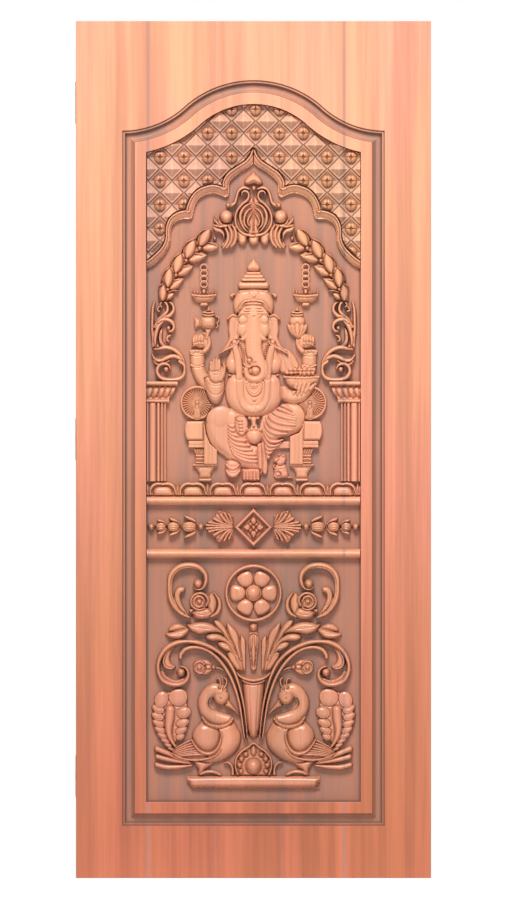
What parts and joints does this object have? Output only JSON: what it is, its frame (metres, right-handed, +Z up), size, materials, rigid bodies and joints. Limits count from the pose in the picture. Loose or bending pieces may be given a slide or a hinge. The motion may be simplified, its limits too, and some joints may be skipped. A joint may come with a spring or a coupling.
{
  "type": "carved temple door",
  "caption": "Single solid teak door leaf with an arched sunk field holding a planted relief carving, hung on butt hinges at its left edge.",
  "frame": {"origin": "middle of the leaf's bottom edge, at half its thickness", "axes": "+Z up along the leaf, -Y towards the carved front, +X to the right seen from the front"},
  "size_m": [0.8715, 0.057, 2.1],
  "materials": {
    "teak_boards": "oiled, satin",
    "teak_tongues": "bare",
    "carved_teak": "oiled, satin",
    "lattice_teak": "oiled, satin",
    "hinge_brass": "aged satin",
    "hinge_pin_steel": "brushed",
    "screw_brass": "satin"
  },
  "bodies": {
    "hinge_side": {"hinge_frame_plates": "hinge_brass", "hinge_pins": "hinge_pin_steel"},
    "leaf": {"left_edge_board": "teak_boards", "left_field_board": "teak_boards", "centre_board": "teak_boards", "right_field_board": "teak_boards", "right_edge_board": "teak_boards", "board_splines": "teak_tongues", "lattice_panel": "lattice_teak", "lattice_buttons": "lattice_teak", "cusped_arch_left": "carved_teak", "cusped_arch_right": "carved_teak", "arch_crest": "carved_teak", "crest_finial": "carved_teak", "garland_left": "carved_teak", "garland_right": "carved_teak", "scroll_bracket_left": "carved_teak", "scroll_bracket_right": "carved_teak", "capital_left": "carved_teak", "capital_right": "carved_teak", "pillar_left": "carved_teak", "pillar_right": "carved_teak", "lamp_chain_left": "carved_teak", "lamp_chain_right": "carved_teak", "hanging_lamp_left": "carved_teak", "hanging_lamp_right": "carved_teak", "throne": "carved_teak", "throne_wheel_left": "carved_teak", "throne_wheel_right": "carved_teak", "ganesha_figure": "carved_teak", "mouse": "carved_teak", "lotus_band": "carved_teak", "upper_bead": "carved_teak", "lower_bead": "carved_teak", "frieze_diamond": "carved_teak", "frieze_palmette_left": "carved_teak", "frieze_palmette_right": "carved_teak", "frieze_buds_left": "carved_teak", "frieze_buds_right": "carved_teak", "medallion_ring": "carved_teak", "medallion_flower": "carved_teak", "medallion_stem": "carved_teak", "upper_scroll_left": "carved_teak", "upper_scroll_right": "carved_teak", "rose_left": "carved_teak", "rose_right": "carved_teak", "acanthus_left": "carved_teak", "acanthus_right": "carved_teak", "lower_scroll_left": "carved_teak", "lower_scroll_right": "carved_teak", "rosebud_left": "carved_teak", "rosebud_right": "carved_teak", "vase": "carved_teak", "lotus_drop": "carved_teak", "peacock_left": "carved_teak", "peacock_right": "carved_teak", "base_plinth": "carved_teak", "hinge_leaf_plates": "hinge_brass", "hinge_screws": "screw_brass"}
  },
  "joints": [
    {"name": "leaf_swing", "type": "hinge", "parent": "hinge_side", "child": "leaf", "pos_m": [-0.431, 0.029, 1.075], "axis": [0, 0, 1], "range_deg": [0, 170]}
  ]
}
